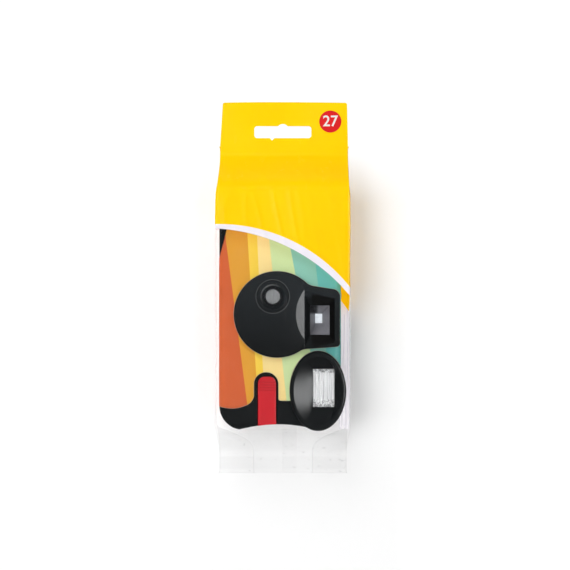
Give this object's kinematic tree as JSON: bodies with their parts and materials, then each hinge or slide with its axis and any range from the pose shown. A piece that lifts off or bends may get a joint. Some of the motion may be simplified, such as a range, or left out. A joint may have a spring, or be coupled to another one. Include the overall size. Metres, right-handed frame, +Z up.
{
  "type": "single-use film camera",
  "caption": "Single-use film camera with flash, hung on end in a clear pouch with a printed yellow header that it slides out of.",
  "frame": {"origin": "centre of the pouch's hang slot, midway through the header", "axes": "+Z up as it hangs, along the camera's length; -Y towards the viewer, out of the lens; +X towards the camera's own top, with the shutter button"},
  "size_m": [0.0644, 0.0364, 0.1793],
  "materials": {
    "black_plastic": "satin black moulded plastic with a fine texture",
    "dark_plastic": "matt black moulded plastic",
    "label_print": "satin printed label in warm and green stripes",
    "switch_red": "satin red plastic",
    "clear_plastic": "clear moulded plastic",
    "amber_plastic": "translucent amber plastic",
    "bright_metal": "bright metallised reflector",
    "spring_steel": "plain steel",
    "contact_brass": "plain brass",
    "board_green": "green lacquered circuit board",
    "part_black": "black sleeve",
    "copper_wire": "lacquered copper winding",
    "resistor_tan": "glazed tan",
    "can_steel": "printed steel can",
    "film_brown": "dark brown film",
    "cell_wrap": "satin printed cell sleeve",
    "wheel_black": "matt black plastic",
    "dial_white": "white plastic dial",
    "print_yellow": "printed glossy film, yellow with a white edge band",
    "clear_film": "clear wrinkled packing film"
  },
  "bodies": {
    "pouch": {"header_panel": "print_yellow", "printed_film": "print_yellow", "clear_film": "clear_film", "bottom_seal": "clear_film"},
    "camera": {"front_cover": "black_plastic", "rear_cover": "black_plastic", "front_label": "label_print", "back_label": "label_print", "film_door": "black_plastic", "battery_door": "black_plastic", "lever_spring": "spring_steel", "shutter_spring": "spring_steel", "lens": "clear_plastic", "lens_ring": "dark_plastic", "viewfinder_lens": "clear_plastic", "viewfinder_eyepiece": "clear_plastic", "flash_window": "clear_plastic", "flash_reflector": "bright_metal", "flash_tube": "clear_plastic", "counter_window": "clear_plastic", "ready_light_pipe": "amber_plastic", "ready_lamp": "clear_plastic", "switch_contact": "contact_brass", "sync_contact": "contact_brass", "flash_board": "board_green", "flash_capacitor": "part_black", "transformer": "copper_wire", "trigger_coil": "copper_wire", "transistor": "part_black", "resistors": "resistor_tan", "cartridge_shell": "can_steel", "cartridge_caps": "spring_steel", "film_strip": "film_brown", "wheel_pawl": "dark_plastic", "battery": "cell_wrap", "battery_contact_minus": "contact_brass", "battery_contact_plus": "contact_brass", "chassis": "dark_plastic"},
    "shutter_button": {"shutter_button": "black_plastic"},
    "release_lever": {"release_lever": "dark_plastic"},
    "shutter_blade": {"shutter_blade": "spring_steel"},
    "flash_switch": {"flash_switch": "switch_red"},
    "advance_wheel": {"advance_wheel": "wheel_black"},
    "cartridge_spool": {"cartridge_spool": "dark_plastic"},
    "sprocket_shaft": {"sprocket_shaft": "dark_plastic"},
    "frame_counter": {"frame_counter": "dial_white"},
    "film_roll": {"film_roll": "film_brown", "film_core": "dark_plastic"}
  },
  "joints": [
    {"name": "camera_slide", "type": "slide", "parent": "pouch", "child": "camera", "axis": [0, 0, -1], "range_m": [0, 0.15], "deforming": ["bottom_seal"]},
    {"name": "button_press", "type": "slide", "parent": "camera", "child": "shutter_button", "axis": [-1, 0, 0], "range_m": [0, 0.0015], "stiffness_N_per_m": 400},
    {"name": "lever_pivot", "type": "hinge", "parent": "camera", "child": "release_lever", "pos_m": [0.0155, -0.0087, -0.066], "axis": [0, -1, 0], "range_deg": [0, 16]},
    {"name": "blade_pivot", "type": "hinge", "parent": "camera", "child": "shutter_blade", "pos_m": [0.004, -0.0075, -0.0715], "axis": [0, -1, 0], "range_deg": [0, 29]},
    {"name": "switch_slide", "type": "slide", "parent": "camera", "child": "flash_switch", "axis": [0, 0, 1], "range_m": [0, 0.0015]},
    {"name": "wheel_turn", "type": "hinge", "parent": "camera", "child": "advance_wheel", "pos_m": [0, 0.00275, -0.0435], "axis": [1, 0, 0], "continuous": true},
    {"name": "spool_turn", "type": "hinge", "parent": "camera", "child": "cartridge_spool", "pos_m": [0, 0.00275, -0.0435], "axis": [1, 0, 0], "continuous": true},
    {"name": "sprocket_turn", "type": "hinge", "parent": "camera", "child": "sprocket_shaft", "pos_m": [0, 0.0079, -0.0622], "axis": [1, 0, 0], "continuous": true},
    {"name": "counter_turn", "type": "hinge", "parent": "camera", "child": "frame_counter", "pos_m": [0, 0.001, -0.0735], "axis": [1, 0, 0], "continuous": true},
    {"name": "film_roll_turn", "type": "hinge", "parent": "camera", "child": "film_roll", "pos_m": [0, 0.0058, -0.1185], "axis": [1, 0, 0], "continuous": true}
  ],
  "couplings": [
    {"joint": "lever_pivot", "follows": "button_press", "rad_per_m": 174.53},
    {"joint": "blade_pivot", "follows": "button_press", "rad_per_m": 325.8},
    {"joint": "spool_turn", "follows": "wheel_turn", "ratio": 1},
    {"joint": "film_roll_turn", "follows": "wheel_turn", "ratio": 1},
    {"joint": "sprocket_turn", "follows": "wheel_turn", "ratio": 1.3228},
    {"joint": "counter_turn", "follows": "wheel_turn", "ratio": -0.0441}
  ]
}
